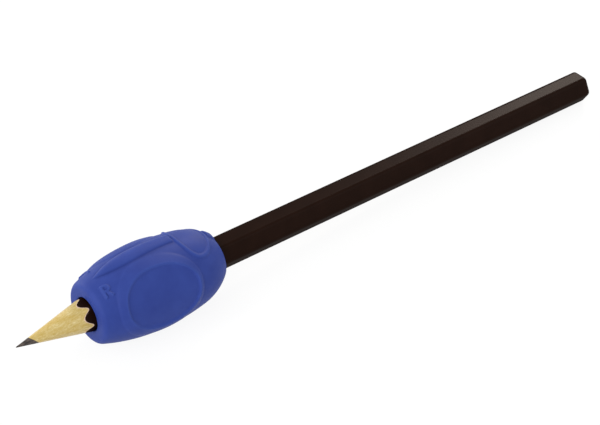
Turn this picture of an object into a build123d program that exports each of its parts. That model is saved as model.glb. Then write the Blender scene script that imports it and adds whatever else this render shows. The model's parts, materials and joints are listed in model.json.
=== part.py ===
"""A soft moulded finger grip on a sharpened hexagonal pencil, in millimetres, at rest on a table.

The pencil is worked out along X about its own axis, with its point at the origin and its tail at the
far end of X. The whole is then laid down, so that the grip's belly and the tail's rim touch z = 0.
"""
import math
import os

import numpy
from build123d import *

# Pencil: driving dimensions
PENCIL_LENGTH = 172.0
ACROSS_FLATS = 7.2
EDGE_RADIUS = 1.25
LACQUER_THICKNESS = 0.10
PRIMER_THICKNESS = 0.05
LEAD_DIAMETER = 2.0
LEAD_OFFSET_Y = -0.08
LEAD_OFFSET_Z = -0.19
GLUE_THICKNESS = 0.06
SHARPENING_ANGLE = 24.4
POINT_RADIUS = 0.1
END_DIP_THICKNESS = 1.0
END_DIP_ROUNDING = 0.8

# Grip body: driving dimensions, with setbacks measured from its front face
GRIP_LENGTH = 34.2
GRIP_SETBACK = 18.0
GRIP_TURN = 9.0
BORE_CLEARANCE = 0.08
MOUTH_CHAMFER = 0.3
LIP_RADIUS = 7.1
LIP_ROUNDING = 1.6
SHOULDER_SETBACK = 7.5
SHOULDER_RADIUS = 9.4
SWELL_SETBACK = 17.2
SWELL_RADIUS = 10.2
HAUNCH_RADIUS = 8.9
HEEL_LENGTH = 5.5
HEEL_RADIUS = 5.75
HEEL_CHAMFER = 0.6
BODY_ROUNDING = 5.0
BELLY_FLAT_DEPTH = 0.3
RELIEF_ROOT_WALL = 0.5

# Finger pads: a shallow dish inside a raised ring on each side of the ridge
PAD_ANGLE = 77.0
PAD_SETBACK = 14.9
PAD_LENGTH = 18.6
PAD_WIDTH = 13.4
PAD_TILT = 4.5
PAD_EDGE_DEPTH = 0.35
PAD_FLOOR_RADIUS = 14.0
RING_WIDTH = 1.95
RING_HEIGHT = 0.28

# Ridge along the top, and the plain plate behind it
RIDGE_SETBACK = 2.5
RIDGE_POINT_LENGTH = 9.5
RIDGE_WIDTH = 3.8
RIDGE_HEIGHT = 0.6
PLATE_FROM_HEEL = 7.2
PLATE_FRONT_LENGTH = 3.5
PLATE_REAR_LENGTH = 5.2
PLATE_WIDTH = 13.8
PLATE_HEIGHT = 0.4
PLATE_RIM_WIDTH = 0.6
PLATE_RIM_HEIGHT = 0.2

# Worked out from the driving dimensions
APOTHEM = ACROSS_FLATS / 2
CORNER_RADIUS = (APOTHEM - EDGE_RADIUS) / math.cos(math.pi / 6) + EDGE_RADIUS
WOOD_INSET = LACQUER_THICKNESS + PRIMER_THICKNESS
LEAD_RADIUS = LEAD_DIAMETER / 2
HALF_GLUE = GLUE_THICKNESS / 2
GROOVE_RADIUS = LEAD_RADIUS + HALF_GLUE
HALF_ANGLE = math.radians(SHARPENING_ANGLE / 2)
BARREL_END = PENCIL_LENGTH - END_DIP_THICKNESS
BORE_RADIUS = CORNER_RADIUS + BORE_CLEARANCE
HAUNCH_SETBACK = GRIP_LENGTH - HEEL_LENGTH
PLATE_SETBACK = GRIP_LENGTH - PLATE_FROM_HEEL
RELIEF_BASE = BORE_RADIUS + RELIEF_ROOT_WALL
REACH = 2 * SWELL_RADIUS


# Pencil

def hexagon(inset):
    """The barrel's rounded hexagon, flat side up, drawn in from the lacquer's face by an inset."""
    sharp = RegularPolygon(APOTHEM - inset, 6, major_radius=False)
    return fillet(sharp.vertices(), EDGE_RADIUS - inset)


def bar(inset):
    """A hexagonal bar from the point to the end of the barrel."""
    return extrude(Plane.YZ * hexagon(inset), BARREL_END)


def rod(radius, length):
    """A round bar along X, from x = 0."""
    return extrude(Plane.YZ * Circle(radius), length)


def lead_rod(radius):
    """A round bar where the lead lies, a little off the barrel's centre."""
    return Pos(0, LEAD_OFFSET_Y, LEAD_OFFSET_Z) * rod(radius, BARREL_END)


def sharpened():
    """What a sharpener leaves of any bar: a cone with a worn tip, which ends in a wide cylinder."""
    wide = 2 * CORNER_RADIUS
    cone_end = (wide - POINT_RADIUS) / math.tan(HALF_ANGLE)
    outline = [(0, 0), (0, POINT_RADIUS), (cone_end, wide), (PENCIL_LENGTH, wide), (PENCIL_LENGTH, 0)]
    return revolve(Plane.XZ * make_face(Polyline(*outline, close=True)), Axis.X)


def wood(bottom, top):
    """The sharpened, grooved wooden barrel between two heights above the glued seam."""
    seam = Pos(PENCIL_LENGTH / 2, 0, LEAD_OFFSET_Z + bottom)
    slab = extrude(seam * Rectangle(PENCIL_LENGTH, 2 * ACROSS_FLATS), top - bottom)
    return (bar(WOOD_INSET) & slab & sharpened()) - lead_rod(GROOVE_RADIUS)


def coat(inset, thickness):
    """One coat of paint on the barrel, cut back in scallops where the pencil is sharpened."""
    return (bar(inset) - bar(inset + thickness)) & sharpened()


def end_dip():
    """The dip of lacquer over the cut tail: a hexagonal cap with a rounded rim."""
    cap = extrude(Plane.YZ.offset(BARREL_END) * hexagon(0), END_DIP_THICKNESS)
    rim = cap.faces().sort_by(Axis.X)[-1].edges()
    return fillet(rim, END_DIP_ROUNDING)


# Grip, with its front face at x = 0 and its ridge on top

def stations(growth):
    """The corners of the body's outline from lip to heel, thickened by a growth."""
    return [
        (0, LIP_RADIUS + growth),
        (SHOULDER_SETBACK, SHOULDER_RADIUS + growth),
        (SWELL_SETBACK, SWELL_RADIUS + growth),
        (HAUNCH_SETBACK, HAUNCH_RADIUS + growth),
        (GRIP_LENGTH, HEEL_RADIUS + growth),
    ]


def body_radius(setback):
    """The body's radius at a setback, on the taper between two stations."""
    setbacks, radii = zip(*stations(0))
    return numpy.interp(setback, setbacks, radii)


def section(growth, inner_radius):
    """Half the body's section, thickened by a growth: rounded tapers over a straight inner edge."""
    skin = FilletPolyline(*stations(growth), radius=BODY_ROUNDING)
    ends = Polyline(skin @ 1, (GRIP_LENGTH, inner_radius), (0, inner_radius), skin @ 0)
    return make_face([skin, ends])


def body(growth):
    """The full body turned about the pencil's axis, thickened all round by a growth."""
    return revolve(Plane.XZ * section(growth, 0), Axis.X)


def plain_sleeve():
    """The bored body with its lip rounded and its heel and its two mouths chamfered."""
    half = section(0, BORE_RADIUS)
    half = fillet(half.vertices().sort_by_distance((0, LIP_RADIUS))[:1], LIP_ROUNDING)
    half = chamfer(half.vertices().sort_by_distance((GRIP_LENGTH, HEEL_RADIUS))[:1], HEEL_CHAMFER)
    half = chamfer(half.vertices().group_by(Axis.Y)[0], MOUTH_CHAMFER)
    return revolve(Plane.XZ * half, Axis.X)


def column(plane, outline):
    """A column on an outline in a plane through the axis, from just outside the bore to past the skin."""
    return extrude(plane.offset(RELIEF_BASE) * outline, REACH)


def pad_plane():
    """The plane of the near finger pad, through the axis, with x along the pencil."""
    turn = math.radians(PAD_ANGLE)
    return Plane((PAD_SETBACK, 0, 0), x_dir=(1, 0, 0), z_dir=(0, -math.sin(turn), math.cos(turn)))


def pad_ring():
    """The raised ring around the dish, drawn as a full oval."""
    oval = Ellipse(PAD_LENGTH / 2 + RING_WIDTH, PAD_WIDTH / 2 + RING_WIDTH, rotation=-PAD_TILT)
    return column(pad_plane(), oval) & body(RING_HEIGHT)


def pad_dish():
    """The hollow of the pad: its floor is the side of a round bar, equally deep at both ends."""
    front_height = body_radius(PAD_SETBACK - PAD_LENGTH / 2) - PAD_EDGE_DEPTH
    rear_height = body_radius(PAD_SETBACK + PAD_LENGTH / 2) - PAD_EDGE_DEPTH
    slope = math.atan2(rear_height - front_height, PAD_LENGTH)
    height = (front_height + rear_height) / 2 - PAD_FLOOR_RADIUS / math.cos(slope)
    lay = Pos(0, 0, height) * Rot(0, 90 - math.degrees(slope), 0)
    bar_below = pad_plane().location * lay * Cylinder(PAD_FLOOR_RADIUS, 2 * GRIP_LENGTH)
    oval = Ellipse(PAD_LENGTH / 2, PAD_WIDTH / 2, rotation=-PAD_TILT)
    return column(pad_plane(), oval) - bar_below


def ridge():
    """The ridge along the top: it starts in a point and runs back under the plate."""
    half = RIDGE_WIDTH / 2
    full_width = RIDGE_SETBACK + RIDGE_POINT_LENGTH
    near = TangentArc((full_width, -half), (RIDGE_SETBACK, 0), tangent=(-1, 0))
    far = TangentArc((full_width, half), (RIDGE_SETBACK, 0), tangent=(-1, 0))
    sides = Polyline((full_width, -half), (PLATE_SETBACK, -half), (PLATE_SETBACK, half), (full_width, half))
    return column(Plane.XY, make_face([near, sides, far])) & body(RIDGE_HEIGHT)


def plate_column(margin):
    """A column on the plate's outline, two halves of unlike ovals, narrowed by a margin."""
    half_width = PLATE_WIDTH / 2 - margin
    front_half = PLATE_FRONT_LENGTH - margin
    rear_half = PLATE_REAR_LENGTH - margin
    front = EllipticalCenterArc((0, 0), front_half, half_width, start_angle=90, arc_size=180)
    rear = EllipticalCenterArc((0, 0), rear_half, half_width, start_angle=-90, arc_size=180)
    return column(Plane((PLATE_SETBACK, 0, 0)), make_face([front, rear]))


def grip_sleeve():
    """The one-piece moulding: the bored body with its pad rings, ridge and plate, less the dishes."""
    plate = plate_column(0) & body(PLATE_HEIGHT)
    plate_face = plate_column(PLATE_RIM_WIDTH) - body(PLATE_HEIGHT - PLATE_RIM_HEIGHT)
    sleeve = plain_sleeve() + pad_ring() + mirror(pad_ring(), Plane.XZ) + ridge() + plate
    return sleeve - pad_dish() - mirror(pad_dish(), Plane.XZ) - plate_face


# Table

def table():
    """The table's top: it meets the tail's lower rim and presses a small flat into the grip's swell."""
    tail = PENCIL_LENGTH - END_DIP_ROUNDING
    drop = SWELL_RADIUS - BELLY_FLAT_DEPTH - APOTHEM
    tilt = math.atan2(drop, tail - GRIP_SETBACK - SWELL_SETBACK)
    along = Vector(math.cos(tilt), 0, math.sin(tilt))
    return Plane((tail, 0, -APOTHEM), x_dir=along, z_dir=(-along.Z, 0, along.X))


def grip_in_place():
    """The grip on the barrel, turned a little to the far side, with its belly flat on the table."""
    placed = Pos(GRIP_SETBACK, 0, 0) * Rot(-GRIP_TURN, 0, 0) * grip_sleeve()
    return split(placed, bisect_by=table(), keep=Keep.TOP)


pieces = {
    "graphite_lead": lead_rod(LEAD_RADIUS) & sharpened(),
    "upper_slat": wood(HALF_GLUE, ACROSS_FLATS),
    "lower_slat": wood(-ACROSS_FLATS, -HALF_GLUE),
    "glue_line": wood(-HALF_GLUE, HALF_GLUE),
    "primer_coat": coat(LACQUER_THICKNESS, PRIMER_THICKNESS),
    "lacquer_coat": coat(0, LACQUER_THICKNESS),
    "end_dip": end_dip(),
    "grip_sleeve": grip_in_place(),
}

# Laid on the table, with the middle of the footprint at the origin
laid = table().location.inverse()
box = Compound([laid * piece for piece in pieces.values()]).bounding_box()
rest = Pos(-box.center().X, -box.center().Y, -box.min.Z) * laid
os.makedirs("parts", exist_ok=True)
for name, piece in pieces.items():
    export_step(rest * piece, f"parts/{name}.step")

point = (rest * Pos(0, 0, 0)).position
tail_end = (rest * Pos(PENCIL_LENGTH, 0, 0)).position
print("point", point, "tail", tail_end, "size", box.size)
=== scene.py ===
"""Looks of a soft finger grip on a sharpened hexagonal pencil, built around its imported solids.

Shapes are worked out in millimetres in the pencil's own directions, and become metres in the meshes.
"""
import json
import math

import bpy
import numpy as np
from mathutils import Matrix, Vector


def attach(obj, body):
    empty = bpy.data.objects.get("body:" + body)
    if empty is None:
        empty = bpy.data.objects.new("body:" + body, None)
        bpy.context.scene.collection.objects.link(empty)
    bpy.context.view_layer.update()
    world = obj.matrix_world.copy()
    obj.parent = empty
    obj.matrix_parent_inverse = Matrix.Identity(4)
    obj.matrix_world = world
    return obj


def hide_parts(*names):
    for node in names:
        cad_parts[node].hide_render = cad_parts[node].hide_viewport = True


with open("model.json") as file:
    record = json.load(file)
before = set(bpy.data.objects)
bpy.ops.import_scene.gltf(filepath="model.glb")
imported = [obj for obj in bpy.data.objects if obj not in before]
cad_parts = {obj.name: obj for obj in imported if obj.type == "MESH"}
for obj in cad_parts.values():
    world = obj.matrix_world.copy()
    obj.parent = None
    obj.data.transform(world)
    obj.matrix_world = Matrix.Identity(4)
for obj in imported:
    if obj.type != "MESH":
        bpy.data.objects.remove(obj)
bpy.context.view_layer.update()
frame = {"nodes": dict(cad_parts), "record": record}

# Grip body, as in the solid: setbacks are measured from its front face
GRIP_LENGTH = 34.2
GRIP_SETBACK = 18.0
GRIP_TURN = math.radians(9.0)
BORE_RADIUS = 4.0435
MOUTH_ROUNDING = 0.3
LIP_RADIUS = 7.1
LIP_ROUNDING = 1.6
SWELL_RADIUS = 10.05
SWELL_SETBACK = 16.0
REAR_ARC_RADIUS = 60.0
HAUNCH_SETBACK = 27.0
HEEL_RADIUS = 5.4
HEEL_ROUNDING = 0.8
FLARE = SWELL_RADIUS - LIP_RADIUS
FRONT_ARC_RADIUS = (SWELL_SETBACK**2 + FLARE**2) / (2 * FLARE)

# Finger pads and the rings round them
PAD_ANGLE = math.radians(77.0)
PAD_SETBACK = 14.9
PAD_LENGTH = 18.6
PAD_WIDTH = 13.4
PAD_SQUARENESS = 2.15
PAD_TILT = math.radians(4.5)
PAD_EDGE_LIFT = 0.08
PAD_FLOOR_RADIUS = 14.0
PAD_WALL_WIDTH = 0.7
PAD_WALL_OUTER_SHARE = 0.25
RING_FRONT_LENGTH = 11.15
RING_REAR_LENGTH = 10.3
RING_BREADTH = 17.5
RING_SQUARENESS = 2.3
RING_STEP = 0.14
RING_RISE = 0.4
RING_FALL_WIDTH = 0.6

# Ridge and plate
RIDGE_SETBACK = 2.5
RIDGE_POINT_LENGTH = 9.5
RIDGE_WIDTH = 4.4
RIDGE_END_WIDTH = 3.5
RIDGE_HEIGHT = 0.65
RIDGE_BACK_POWER = 0.7
RIDGE_RISE_RATE = 1.6
RIDGE_END_GAP = 0.7
PLATE_SETBACK = 27.0
PLATE_FRONT_LENGTH = 3.5
PLATE_REAR_LENGTH = 5.2
PLATE_WIDTH = 13.8
PLATE_FRONT_SQUARENESS = 2.2
PLATE_REAR_SQUARENESS = 2.0
PLATE_FACE_HEIGHT = 0.1
PLATE_RIM_WIDTH = 0.65
PLATE_RIM_HEIGHT = 0.24
PLATE_FALL_WIDTH = 0.5

# Raised hand marks, one on each side of the ridge: a stroke's top and foot are shares of its width
MARK_SETBACK = 2.5
MARK_ANGLE = math.radians(42.7)
MARK_TALL = 2.6
MARK_WIDE = 1.4
MARK_LEG_SHARE = 0.8
MARK_STROKE = 0.56
MARK_TOP_SHARE = 0.3
MARK_FOOT_SHARE = 0.8
MARK_HEIGHT = 0.3

# Painted highlight and wear on the relief's edges, and painted shade in its creases: the depths that count in
# full, and the reach in steps of the mesh
EDGE_DEPTH = 0.3
EDGE_REACH = 4
RIDGE_FOOT_SHADE_DEPTH = 0.2
RIDGE_FOOT_SHADE_REACH = 7

# Steps of the grip's mesh round the axis and along each stretch of its half section
TURN_STEPS = 400
LIP_STEPS = 10
FRONT_STEPS = 115
REAR_STEPS = 60
HEEL_STEPS = 45
BACK_STEPS = 8
REAR_FACE_STEPS = 3
MOUTH_STEPS = 4
BORE_STEPS = 8
FRONT_FACE_STEPS = 4
SKIN_STEPS = LIP_STEPS + FRONT_STEPS + REAR_STEPS + HEEL_STEPS + BACK_STEPS

# Colours of the finishes
RUBBER_DEEP = (0.0226, 0.0458, 0.249)
RUBBER_PALE = (0.0277, 0.0550, 0.281)
# Edge colour of the rubber: wear together with a painted highlight
RUBBER_EDGE_WEAR_AND_HIGHLIGHT = (0.055, 0.112, 0.420)
# Crease colour of the rubber: painted shade
RUBBER_PAINTED_CREASE_SHADE = (0.008, 0.021, 0.150)
LACQUER_DEEP = (0.0106, 0.0036, 0.0016)
LACQUER_PALE = (0.0134, 0.0048, 0.0024)
UPPER_EARLY_WOOD = (0.695, 0.575, 0.285)
UPPER_LATE_WOOD = (0.50, 0.345, 0.076)
# The lower slat's wood is paler than the upper's: painted light that makes up for the underside getting less
# light
LOWER_EARLY_WOOD = (0.735, 0.610, 0.315)
LOWER_LATE_WOOD = (0.53, 0.375, 0.100)
GLUE_PALE = (0.55, 0.400, 0.150)
GLUE_DEEP = (0.47, 0.320, 0.104)
UNDERCOAT_DEEP = (0.62, 0.43, 0.30)
UNDERCOAT_PALE = (0.74, 0.54, 0.40)
LEAD_DEEP = (0.012, 0.008, 0.007)
LEAD_PALE = (0.088, 0.066, 0.054)

# Depths of the fine texture, in millimetres
RUBBER_GRAIN_DEPTH = 0.02
LACQUER_WAVE_DEPTH = 0.04
WOOD_GRAIN_DEPTH = 0.06
BLADE_MARK_DEPTH = 0.03
LEAD_MARK_DEPTH = 0.04

# Floor and surround
FLOOR_SIZE = 6.0
FLOOR_COLOUR = (0.8, 0.8, 0.8)
FLOOR_SEEN_COLOUR = (0.12, 0.12, 0.12)
FLOOR_GLOW = 0.9
WHITE = (1, 1, 1, 1)
WORLD_LIGHT = 0.6

# Lamps, in metres in the model's frame
KEY_POWER = 2.8
KEY_SIZE = 0.6
KEY_PLACE = (-0.56, -0.10, 0.38)
KEY_AIM = (-0.04, 0, 0)
FILL_POWER = 0.9
FILL_SIZE = 0.6
FILL_PLACE = (0.56, -0.50, 0.42)
FILL_AIM = (-0.04, 0, 0.01)
RIM_POWER = 1.3
RIM_SIZE = 0.3
RIM_PLACE = (-0.24, 0.62, 0.14)
RIM_AIM = (-0.05, 0, 0.01)
GLOSS_POWER = 5.0
GLOSS_SIZE = 0.22
GLOSS_PLACE = (0.80, 0.52, 0.56)
GLOSS_AIM = (0.06, 0, 0)
GLOSS_COLOUR = (1.0, 0.88, 0.78)

# Camera, in millimetres along, across and above the pencil from its point
CAMERA_PLACE = (-137.188, -253.858, 259.897)
CAMERA_AIM = (57.855, -23.555, 24.939)
CAMERA_LENS = 107.268
CAMERA_NEAREST = 10.0
SENSOR_WIDTH = 36.0

# Smallest share or width that is divided by
SMALL = 1e-3

# Pencil's own directions
MM = 0.001
point_mount = next(mount for mount in frame["record"]["mounts"] if mount["name"] == "point")
POINT = np.array(point_mount["pos_m"])
ALONG = -np.array(point_mount["axis"])
ACROSS = np.array([0.0, 1.0, 0.0])
RISE = np.cross(ALONG, ACROSS)


def in_frame(along, across, rise):
    """Places distances along, across and above the pencil, in millimetres, in the model's frame in metres."""
    moves = ((along, ALONG), (across, ACROSS), (rise, RISE))
    return POINT + MM * sum(np.asarray(distance, float)[..., None] * way for distance, way in moves)


def smooth_step(low, high, value):
    """Rises from 0 at low to 1 at high along 3t^2 - 2t^3."""
    t = np.clip((value - low) / (high - low), 0, 1)
    return t * t * (3 - 2 * t)


# Grip's plain body

def arc_height(radius, reach):
    """How far an arc of that radius falls below its crown at a reach from it."""
    return radius - np.sqrt(np.maximum(radius**2 - reach**2, 0))


def skin_arcs():
    """The outer profile from the front face to the rear face as five arcs in line.

    Each arc is its centre, radius and two angles. The rounding of the lip lies inside the front arc and
    touches the front face, and the rounding of the heel lies inside the heel arc and touches the rear face.
    The heel arc leaves the rear arc in line with it and ends at the heel's radius.
    """
    front = np.array([SWELL_SETBACK, SWELL_RADIUS - FRONT_ARC_RADIUS])
    rear = np.array([SWELL_SETBACK, SWELL_RADIUS - REAR_ARC_RADIUS])
    haunch_slope = math.asin((HAUNCH_SETBACK - SWELL_SETBACK) / REAR_ARC_RADIUS)
    outward = np.array([math.sin(haunch_slope), math.cos(haunch_slope)])
    haunch = rear + REAR_ARC_RADIUS * outward
    chord = np.array([GRIP_LENGTH, HEEL_RADIUS]) - haunch
    bend = math.atan2(-chord[1], chord[0]) - haunch_slope
    heel_arc = np.linalg.norm(chord) / (2 * math.sin(bend))
    heel = haunch - heel_arc * outward

    lip_x = LIP_ROUNDING - front[0]
    lip = front + np.array([lip_x, math.sqrt((FRONT_ARC_RADIUS - LIP_ROUNDING) ** 2 - lip_x**2)])
    back_x = GRIP_LENGTH - HEEL_ROUNDING - heel[0]
    back = heel + np.array([back_x, math.sqrt((heel_arc - HEEL_ROUNDING) ** 2 - back_x**2)])

    lip_angle = math.atan2(*(lip - front)[::-1])
    haunch_angle = math.pi / 2 - haunch_slope
    back_angle = math.atan2(*(back - heel)[::-1])
    return [
        (lip, LIP_ROUNDING, math.pi, lip_angle),
        (front, FRONT_ARC_RADIUS, lip_angle, math.pi / 2),
        (rear, REAR_ARC_RADIUS, math.pi / 2, haunch_angle),
        (heel, heel_arc, haunch_angle, back_angle),
        (back, HEEL_ROUNDING, back_angle, 0.0),
    ]


def arc_points(centre, radius, start, end, steps):
    """Points on an arc, without its last one."""
    angle = np.linspace(start, end, steps, endpoint=False)
    return np.stack([centre[0] + radius * np.cos(angle), centre[1] + radius * np.sin(angle)], -1)


def line_points(start, end, steps):
    """Points on a line, without its last one."""
    return np.linspace(start, end, steps, endpoint=False)


def grip_profile():
    """The closed half section as setback and radius.

    It goes over the skin, down the rear face, back along the bore and up the front face, with a quarter
    round at each mouth of the bore.
    """
    lip, front, rear, heel, back = skin_arcs()
    mouth_radius = BORE_RADIUS + MOUTH_ROUNDING
    mouth_setback = GRIP_LENGTH - MOUTH_ROUNDING
    quarter = math.pi / 2
    return np.concatenate([
        arc_points(*lip, LIP_STEPS),
        arc_points(*front, FRONT_STEPS),
        arc_points(*rear, REAR_STEPS),
        arc_points(*heel, HEEL_STEPS),
        arc_points(*back, BACK_STEPS),
        line_points((GRIP_LENGTH, back[0][1]), (GRIP_LENGTH, mouth_radius), REAR_FACE_STEPS),
        arc_points((mouth_setback, mouth_radius), MOUTH_ROUNDING, 0.0, -quarter, MOUTH_STEPS),
        line_points((mouth_setback, BORE_RADIUS), (MOUTH_ROUNDING, BORE_RADIUS), BORE_STEPS),
        arc_points((MOUTH_ROUNDING, mouth_radius), MOUTH_ROUNDING, -quarter, -2 * quarter, MOUTH_STEPS),
        line_points((0.0, mouth_radius), (0.0, lip[0][1]), FRONT_FACE_STEPS),
    ])


def body_radius(setback):
    """The plain body's radius as far as the haunch."""
    reach = setback - SWELL_SETBACK
    arc = np.where(reach < 0, FRONT_ARC_RADIUS, REAR_ARC_RADIUS)
    return SWELL_RADIUS - arc_height(arc, reach)


# Grip's relief: heights over the plain body by setback, turn from the ridge and the body's radius

def oval_inside(x, y, half_length, half_width, squareness):
    """Distance inside an oval |x/a|^n + |y/b|^n = 1, negative outside it, measured across its level lines."""
    across = np.maximum(np.abs(x / half_length), SMALL)
    up = np.maximum(np.abs(y / half_width), SMALL)
    spread = (across**squareness + up**squareness) ** (1 / squareness)
    slope = np.hypot(across ** (squareness - 1) / half_length, up ** (squareness - 1) / half_width)
    return (1 - spread) / (slope * spread ** (1 - squareness))


def plate_inside(setback, turn, radius):
    """Distance inside the plate's egg outline.

    The outline is a blunt oval in front of its widest place and a longer oval behind it.
    """
    x = setback - PLATE_SETBACK
    y = radius * np.sin(turn)
    front = oval_inside(x, y, PLATE_FRONT_LENGTH, PLATE_WIDTH / 2, PLATE_FRONT_SQUARENESS)
    rear = oval_inside(x, y, PLATE_REAR_LENGTH, PLATE_WIDTH / 2, PLATE_REAR_SQUARENESS)
    return np.where(np.cos(turn) > 0, np.where(x < 0, front, rear), -radius)


def plate_height(setback, turn, radius):
    """The plate: a low face inside a slightly higher rim, both with soft edges."""
    inside = plate_inside(setback, turn, radius)
    fall = PLATE_FALL_WIDTH / 2
    face = smooth_step(-fall, fall, inside)
    rim = face * smooth_step(-fall, fall, PLATE_RIM_WIDTH - inside)
    return PLATE_FACE_HEIGHT * face + PLATE_RIM_HEIGHT * rim


def ridge_height(setback, turn, radius):
    """The ridge: a round back over an outline that grows from a point along two arcs, then narrows a little.

    The back is a power of 1 - s^2, where s is the share of the way from the middle to the outline. It rises
    with the width of the outline, and dies away just before the plate.
    """
    half = RIDGE_WIDTH / 2
    full = RIDGE_SETBACK + RIDGE_POINT_LENGTH
    arc = (RIDGE_POINT_LENGTH**2 + half**2) / (2 * half)
    narrowing = smooth_step(full, PLATE_SETBACK - PLATE_FRONT_LENGTH, setback)
    waist = (RIDGE_WIDTH - RIDGE_END_WIDTH) / 2 * narrowing
    edge = np.maximum(half - arc_height(arc, np.maximum(full - setback, 0)) - waist, SMALL)
    share = np.abs(radius * np.sin(turn)) / edge
    back = np.maximum(1 - share**2, 0) ** RIDGE_BACK_POWER
    back = np.where((np.cos(turn) > 0) & (setback > RIDGE_SETBACK), back, 0)
    rise = np.minimum(edge / half * RIDGE_RISE_RATE, 1)
    gap = -plate_inside(setback, turn, radius)
    return RIDGE_HEIGHT * back * rise * smooth_step(0, RIDGE_END_GAP, gap)


def stroke_distance(x, y, start, end):
    """Distance from a straight stroke between two points."""
    run = np.subtract(end, start)
    share = np.clip(((x - start[0]) * run[0] + (y - start[1]) * run[1]) / (run @ run), 0, 1)
    return np.hypot(x - start[0] - share * run[0], y - start[1] - share * run[1])


def right_mark_distance(x, y):
    """Distance from the strokes of the right hand mark: a stem, a bowl on its upper half and a leg."""
    bowl = MARK_TALL / 4
    reach = MARK_WIDE - bowl
    crown = MARK_TALL - bowl
    waist = crown - bowl
    round_end = np.where(x > reach, np.abs(np.hypot(x - reach, y - crown) - bowl), MARK_TALL)
    return np.minimum.reduce([
        stroke_distance(x, y, (0, 0), (0, MARK_TALL)),
        stroke_distance(x, y, (0, MARK_TALL), (reach, MARK_TALL)),
        stroke_distance(x, y, (0, waist), (reach, waist)),
        stroke_distance(x, y, (reach * MARK_LEG_SHARE, waist), (MARK_WIDE, 0)),
        round_end,
    ])


def left_mark_distance(x, y):
    """Distance from the strokes of the left hand mark: a stem and a foot."""
    return np.minimum(
        stroke_distance(x, y, (0, 0), (0, MARK_TALL)),
        stroke_distance(x, y, (0, 0), (MARK_WIDE, 0)),
    )


def mark_height(setback, turn, radius):
    """The two hand marks: flat-topped strokes with soft edges, upright for a reader on each side."""
    up = (MARK_ANGLE - np.abs(turn)) * radius
    near = right_mark_distance(setback - MARK_SETBACK, up)
    far = left_mark_distance(MARK_SETBACK + MARK_WIDE - setback, up)
    distance = np.where(turn < 0, near, far)
    top = MARK_STROKE * MARK_TOP_SHARE
    foot = MARK_STROKE * MARK_FOOT_SHARE
    return MARK_HEIGHT * (1 - smooth_step(top, foot, distance))


def pad_lean(turn):
    """The angle up from the middle of the nearer pad: both pads are taken as one by the size of the turn."""
    return PAD_ANGLE - np.abs(turn)


def pad_place(setback, turn, radius):
    """Distances along and up the nearer pad on its own axes, which are tilted a little.

    The distance up is the radius times the sine of the lean. Past a quarter turn it is put out of reach.
    """
    lean = pad_lean(turn)
    along = setback - PAD_SETBACK
    up = np.where(np.cos(lean) > 0, radius * np.sin(lean), np.sign(lean) * 2 * SWELL_RADIUS)
    return (
        along * math.cos(PAD_TILT) - up * math.sin(PAD_TILT),
        along * math.sin(PAD_TILT) + up * math.cos(PAD_TILT),
    )


def dish_inside(setback, turn, radius):
    """Distance inside the dish's oval outline."""
    along, up = pad_place(setback, turn, radius)
    return oval_inside(along, up, PAD_LENGTH / 2, PAD_WIDTH / 2, PAD_SQUARENESS)


def dish_radius(setback, lean):
    """The dish's floor as a radius: the side of a round bar, just above the body at both ends of the pad."""
    front, rear = body_radius(PAD_SETBACK + np.array([-0.5, 0.5]) * PAD_LENGTH) + PAD_EDGE_LIFT
    share = (setback - PAD_SETBACK) / PAD_LENGTH + 0.5
    middle = front + (rear - front) * share - PAD_FLOOR_RADIUS
    depth = np.sqrt(np.maximum(PAD_FLOOR_RADIUS**2 - (middle * np.sin(lean)) ** 2, 0))
    return middle * np.cos(lean) + depth


def ring_height(setback, turn, radius):
    """The oval ring round each pad: a soft step at its outline, then a slope that rises to the dish's edge.

    The slope goes by the share of the way from the ring's outline to the dish's, so it is steeper at the
    rear, where the ring is narrower.
    """
    along, up = pad_place(setback, turn, radius)
    half_length = np.where(along < 0, RING_FRONT_LENGTH, RING_REAR_LENGTH)
    inside = oval_inside(along, up, half_length, RING_BREADTH / 2, RING_SQUARENESS)
    from_outline = np.maximum(inside, 0)
    to_dish = np.maximum(-dish_inside(setback, turn, radius), 0)
    share = from_outline / np.maximum(from_outline + to_dish, SMALL)
    fall = RING_FALL_WIDTH / 2
    return RING_STEP * smooth_step(-fall, fall, inside) + RING_RISE * share


def skin_relief(setback, turn, radius):
    """How far the moulded skin stands out from the plain body or lies below it.

    The highest of the ridge, the plate and the rings stands out. Inside each pad's outline the skin falls to
    the floor of the dish, and the hand marks are added on top.
    """
    place = (setback, turn, radius)
    raised = np.maximum.reduce([ring_height(*place), ridge_height(*place), plate_height(*place)])
    floor = dish_radius(setback, pad_lean(turn)) - radius
    wall_start = -PAD_WALL_WIDTH * PAD_WALL_OUTER_SHARE
    wall = smooth_step(wall_start, wall_start + PAD_WALL_WIDTH, dish_inside(*place))
    return raised + (floor - raised) * wall + mark_height(*place)


# Grip's mesh

def spread_out(values, reach, directions=(0, 1)):
    """Averages a grid over neighbours along its closed directions, which are both unless one is named."""
    for direction in directions:
        shifted = [np.roll(values, step, direction) for step in range(-reach, reach + 1)]
        values = sum(shifted) / len(shifted)
    return values


def crease(height, depth, reach, directions=(0, 1)):
    """How far a height lies below the average of its neighbours, as a share of a depth, from 0 to 1."""
    return np.clip((spread_out(height, reach, directions) - height) / depth, 0, 1)


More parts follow.
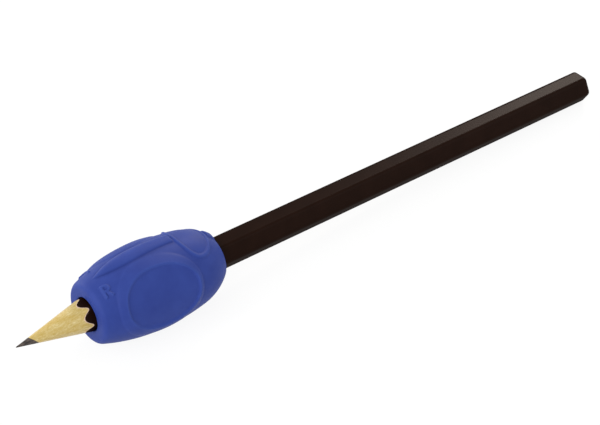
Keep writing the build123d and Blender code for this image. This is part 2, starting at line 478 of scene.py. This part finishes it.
def grip_surface():
    """The grip's points, with how sharply each stands out from its neighbours and how deep in a crease it is.

    The closed half section goes once round the axis, and its outer part is moved out or in by the relief.
    The belly is pressed flat where it meets the table. How far each point stands out gives its edge wear and
    a painted highlight. How deep it lies in a crease gives painted shade there: the creases are the foot of
    the ridge, the inner foot of the plate's rim and the outer foot of the rings.
    """
    profile = grip_profile()
    setback = np.repeat(profile[:, :1], TURN_STEPS, 1)
    radius = np.repeat(profile[:, 1:], TURN_STEPS, 1)
    turn = np.repeat(np.linspace(-math.pi, math.pi, TURN_STEPS, endpoint=False)[None], len(profile), 0)
    on_skin = (np.arange(len(profile)) < SKIN_STEPS)[:, None]
    place = (setback, turn, radius)

    relief = np.where(on_skin, skin_relief(*place), 0)
    reach = radius + relief
    round_angle = turn + GRIP_TURN
    points = in_frame(GRIP_SETBACK + setback, reach * np.sin(round_angle), reach * np.cos(round_angle))
    points[..., 2] = np.maximum(points[..., 2], 0)

    # How far each point stands out from its neighbours: it lightens the edges with wear and a painted
    # highlight
    edge = (relief - spread_out(relief, EDGE_REACH)) / EDGE_DEPTH
    # How deep each point lies at the foot of the ridge, the plate's rim and the rings: it darkens them with
    # painted shade
    heights = (ridge_height, plate_height, ring_height)
    ridge, plate, ring = (np.where(on_skin, height(*place), 0) for height in heights)
    ridge_foot_shade = crease(ridge, RIDGE_FOOT_SHADE_DEPTH, RIDGE_FOOT_SHADE_REACH, directions=(1,))
    in_rim = plate_inside(*place) > PLATE_RIM_WIDTH / 2
    rim_foot_shade = np.where(in_rim, crease(plate, EDGE_DEPTH, EDGE_REACH), 0)
    ring_foot_shade = crease(ring, EDGE_DEPTH, EDGE_REACH)
    return points, edge, ridge_foot_shade + rim_foot_shade + ring_foot_shade


def closed_mesh(name, points):
    """A mesh of four-sided faces over a grid of points that closes on itself in both directions."""
    rows, columns = points.shape[:2]
    index = np.arange(rows * columns).reshape(rows, columns)
    right = np.roll(index, -1, 1)
    faces = np.stack([index, right, np.roll(right, -1, 0), np.roll(index, -1, 0)], -1).reshape(-1, 4)
    mesh = bpy.data.meshes.new(name)
    mesh.from_pydata(points.reshape(-1, 3).tolist(), [], faces.tolist())
    mesh.polygons.foreach_set("use_smooth", np.ones(len(faces), bool))
    mesh.update()
    piece = bpy.data.objects.new(name, mesh)
    bpy.context.scene.collection.objects.link(piece)
    return piece


# Materials

class Finish:
    """A node material in the making: a Principled shader, and helpers that feed it."""

    def __init__(self, name):
        self.material = bpy.data.materials.new(name)
        self.material.use_nodes = True
        self.nodes = self.material.node_tree.nodes
        self.links = self.material.node_tree.links
        self.shader = self.nodes["Principled BSDF"]
        self.place = self.nodes.new("ShaderNodeTexCoord").outputs["Object"]

    def feed(self, socket, value):
        """Links a socket to an output, or sets it to a value."""
        if isinstance(value, bpy.types.NodeSocket):
            self.links.new(value, socket)
        else:
            socket.default_value = value

    def node(self, kind, inputs=(), **settings):
        """Adds a node, with sockets linked to outputs or set to values."""
        made = self.nodes.new(kind)
        for key, value in settings.items():
            setattr(made, key, value)
        for key, value in dict(inputs).items():
            self.feed(made.inputs[key], value)
        return made

    def noise(self, scale, detail=3.0, stretch=(1, 1, 1), roughness=0.5):
        """Noise on the piece's own place, stretched along its axes."""
        spot = self.node("ShaderNodeMapping", {"Vector": self.place, "Scale": stretch}).outputs[0]
        texture = self.node(
            "ShaderNodeTexNoise",
            {"Vector": spot, "Scale": scale, "Detail": detail, "Roughness": roughness},
        )
        return texture.outputs["Fac"]

    def attribute(self, name):
        """A number that the piece's mesh carries at its points."""
        return self.node("ShaderNodeAttribute", attribute_name=name).outputs["Fac"]

    def ramp(self, factor, *stops):
        """Turns a factor into a colour through two stops of place and colour."""
        made = self.node("ShaderNodeValToRGB", {"Fac": factor})
        for element, (spot, colour) in zip(made.color_ramp.elements, stops):
            element.position = spot
            element.color = (*colour, 1)
        return made.outputs[0]

    def blend(self, factor, low, high):
        """Mixes two colours by a factor."""
        made = self.node("ShaderNodeMix", data_type="RGBA")
        sockets = [socket for socket in made.inputs if socket.enabled]
        for socket, value in zip(sockets, (factor, low, high)):
            self.feed(socket, (*value, 1) if isinstance(value, tuple) else value)
        return next(socket for socket in made.outputs if socket.enabled)

    def between(self, factor, low, high, top=1.0):
        """Takes a factor that runs from 0 to top to a number that runs from low to high."""
        inputs = {"Value": factor, "From Max": top, "To Min": low, "To Max": high}
        return self.node("ShaderNodeMapRange", inputs).outputs[0]

    def bump(self, height, depth, strength, under=None):
        """A bump of that depth in millimetres, on top of another one if it is given."""
        inputs = {"Height": height, "Distance": depth * MM, "Strength": strength}
        if under is not None:
            inputs["Normal"] = under
        return self.node("ShaderNodeBump", inputs).outputs[0]

    def set(self, **sockets):
        """Sets or links the shader's sockets, named with underscores for spaces."""
        for key, value in sockets.items():
            self.feed(self.shader.inputs[key.replace("_", " ")], value)
        return self.material


def rubber_finish():
    """Blue moulded rubber: a satin skin with a fine grain, lighter on its edges with wear and a painted
    highlight, and darker in its creases with painted shade.
    """
    rubber = Finish("moulded_rubber")
    cloudy = rubber.noise(scale=260, detail=4)
    colour = rubber.ramp(cloudy, (0.3, RUBBER_DEEP), (0.7, RUBBER_PALE))
    # Edges lighter: wear together with a painted highlight
    edge_wear_and_highlight = rubber.between(rubber.attribute("edge"), low=0.0, high=0.2, top=0.5)
    colour = rubber.blend(edge_wear_and_highlight, colour, RUBBER_EDGE_WEAR_AND_HIGHLIGHT)
    # Creases darker: painted shade
    painted_crease_shade = rubber.between(rubber.attribute("foot"), low=0.0, high=0.6)
    colour = rubber.blend(painted_crease_shade, colour, RUBBER_PAINTED_CREASE_SHADE)
    grain = rubber.noise(scale=5200, detail=2)
    return rubber.set(
        Base_Color=colour,
        Roughness=rubber.between(grain, low=0.5, high=0.66),
        Specular_IOR_Level=0.18,
        Normal=rubber.bump(grain, RUBBER_GRAIN_DEPTH, strength=0.35),
    )


def lacquer_finish():
    """Dark brown paint under a thin clear lacquer, with the slight waves of a dipped coat."""
    lacquer = Finish("dark_lacquer_gloss")
    cloudy = lacquer.noise(scale=180)
    streaks = lacquer.noise(scale=900, stretch=(0.1, 1, 1))
    ripples = lacquer.noise(scale=420, detail=2, stretch=(0.25, 1, 1))
    waves = lacquer.bump(ripples, LACQUER_WAVE_DEPTH, strength=0.4)
    return lacquer.set(
        Base_Color=lacquer.ramp(cloudy, (0.35, LACQUER_DEEP), (0.65, LACQUER_PALE)),
        Roughness=lacquer.between(streaks, low=0.6, high=0.7),
        Specular_IOR_Level=0.0,
        Coat_Weight=0.085,
        Coat_Roughness=0.3,
        Normal=waves,
        Coat_Normal=waves,
    )


def wood_finish(name, early, late):
    """Freshly cut softwood: fine dark lines along the pencil, and faint marks of the blade across them."""
    wood = Finish(name)
    lines = wood.noise(scale=1500, detail=5, stretch=(0.06, 1, 1), roughness=0.65)
    flecks = wood.noise(scale=3800, stretch=(0.45, 1, 1), roughness=0.6)
    colour = wood.ramp(lines, (0.3, late), (0.68, early))
    colour = wood.blend(wood.between(flecks, low=-1.2, high=1.8), colour, late)
    blade = wood.noise(scale=1500, stretch=(1, 0.3, 0.3))
    grain = wood.bump(flecks, WOOD_GRAIN_DEPTH, strength=0.5)
    return wood.set(
        Base_Color=colour,
        Roughness=wood.between(lines, low=0.66, high=0.54),
        Specular_IOR_Level=0.3,
        Sheen_Weight=0.6,
        Sheen_Roughness=0.3,
        Normal=wood.bump(blade, BLADE_MARK_DEPTH, strength=0.4, under=grain),
    )


def undercoat_finish():
    """Chalky pale undercoat, a little uneven where the blade cut it."""
    coat = Finish("chalky_undercoat")
    cloudy = coat.noise(scale=1800)
    chalk = coat.noise(scale=3000)
    return coat.set(
        Base_Color=coat.ramp(cloudy, (0.3, UNDERCOAT_DEEP), (0.7, UNDERCOAT_PALE)),
        Roughness=coat.between(chalk, low=0.7, high=0.85),
        Specular_IOR_Level=0.2,
    )


def lead_finish():
    """Graphite with a dull metal sheen and fine marks of sharpening."""
    lead = Finish("sharpened_graphite")
    marks = lead.noise(scale=1800, detail=4, stretch=(0.5, 1, 1))
    return lead.set(
        Base_Color=lead.ramp(marks, (0.36, LEAD_DEEP), (0.64, LEAD_PALE)),
        Metallic=0.15,
        Roughness=lead.between(marks, low=0.42, high=0.6),
        Normal=lead.bump(marks, LEAD_MARK_DEPTH, strength=0.5),
    )


# Pieces

def show_grip():
    """The moulded grip, in place of its solid."""
    points, edge, foot = grip_surface()
    grip = closed_mesh("moulded_grip", points)
    # The edge attribute lightens the rubber with wear and a painted highlight, and the foot attribute darkens
    # it with painted shade
    for name, values in (("edge", edge), ("foot", foot)):
        attribute = grip.data.attributes.new(name, "FLOAT", "POINT")
        attribute.data.foreach_set("value", values.astype(np.float32).ravel())
    grip.data.materials.append(rubber_finish())
    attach(grip, "grip")
    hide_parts("grip_sleeve")


def dress(node, finish):
    """Gives a solid its finish."""
    mesh = frame["nodes"][node].data
    mesh.materials.clear()
    mesh.materials.append(finish)


# Studio

def seen_directly(nodes, links):
    """A factor that is 1 for what the camera sees, straight, mirrored or through glass."""
    path = nodes.new("ShaderNodeLightPath")
    factor = path.outputs["Is Camera Ray"]
    for ray in ("Is Glossy Ray", "Is Transmission Ray"):
        either = nodes.new("ShaderNodeMath")
        either.operation = "MAXIMUM"
        links.new(factor, either.inputs[0])
        links.new(path.outputs[ray], either.inputs[1])
        factor = either.outputs[0]
    return factor


def pale_floor():
    """A wide plain floor that glows where it is seen, so that it is white and keeps a faint shadow."""
    half = FLOOR_SIZE / 2
    mesh = bpy.data.meshes.new("floor")
    corners = [(-half, -half, 0), (half, -half, 0), (half, half, 0), (-half, half, 0)]
    mesh.from_pydata(corners, [], [(0, 1, 2, 3)])
    floor = bpy.data.objects.new("floor", mesh)
    bpy.context.scene.collection.objects.link(floor)
    board = Finish("pale_floor")
    seen = seen_directly(board.nodes, board.links)
    finish = board.set(
        Base_Color=board.blend(seen, FLOOR_COLOUR, FLOOR_SEEN_COLOUR),
        Roughness=1.0,
        Specular_IOR_Level=0.0,
        Emission_Color=WHITE,
        Emission_Strength=board.between(seen, low=0.0, high=FLOOR_GLOW),
    )
    mesh.materials.append(finish)


def studio_world():
    """An even white surround: white where it is seen, and a plain level of light elsewhere."""
    world = bpy.data.worlds.new("studio")
    world.use_nodes = True
    nodes, links = world.node_tree.nodes, world.node_tree.links
    surround = nodes["Background"]
    surround.inputs["Color"].default_value = WHITE
    level = nodes.new("ShaderNodeMapRange")
    level.inputs["To Min"].default_value = WORLD_LIGHT
    level.inputs["To Max"].default_value = 1.0
    links.new(seen_directly(nodes, links), level.inputs["Value"])
    links.new(level.outputs[0], surround.inputs["Strength"])
    bpy.context.scene.world = world


def face_point(item, place, aim):
    """Puts a lamp or a camera at a place, facing a point."""
    item.location = place
    item.rotation_euler = (Vector(aim) - Vector(place)).to_track_quat("-Z", "Y").to_euler()
    bpy.context.scene.collection.objects.link(item)


def soft_lamp(name, place, aim, size, power, colour=(1, 1, 1)):
    """A square soft lamp that faces a point."""
    data = bpy.data.lights.new(name, "AREA")
    data.size = size
    data.energy = power
    data.color = colour
    face_point(bpy.data.objects.new(name, data), place, aim)


def photo_camera():
    """The camera at the photograph's angle, in the pencil's own directions."""
    data = bpy.data.cameras.new("camera")
    data.sensor_width = SENSOR_WIDTH
    data.lens = CAMERA_LENS
    data.clip_start = CAMERA_NEAREST * MM
    camera = bpy.data.objects.new("camera", data)
    face_point(camera, in_frame(*CAMERA_PLACE), in_frame(*CAMERA_AIM))
    bpy.context.scene.camera = camera


# The whole scene

show_grip()
lacquer = lacquer_finish()
dress("lacquer_coat", lacquer)
dress("end_dip", lacquer)
dress("upper_slat", wood_finish("upper_slat_wood", UPPER_EARLY_WOOD, UPPER_LATE_WOOD))
# The lower slat gets the paler wood: painted light for its less lit underside
dress("lower_slat", wood_finish("lower_slat_wood", LOWER_EARLY_WOOD, LOWER_LATE_WOOD))
dress("glue_line", wood_finish("dry_glue", GLUE_PALE, GLUE_DEEP))
dress("primer_coat", undercoat_finish())
dress("graphite_lead", lead_finish())

pale_floor()
studio_world()
soft_lamp("key", KEY_PLACE, KEY_AIM, KEY_SIZE, KEY_POWER)
soft_lamp("fill", FILL_PLACE, FILL_AIM, FILL_SIZE, FILL_POWER)
soft_lamp("rim", RIM_PLACE, RIM_AIM, RIM_SIZE, RIM_POWER)
soft_lamp("gloss", GLOSS_PLACE, GLOSS_AIM, GLOSS_SIZE, GLOSS_POWER, GLOSS_COLOUR)
photo_camera()
bpy.context.scene.view_settings.view_transform = "Standard"
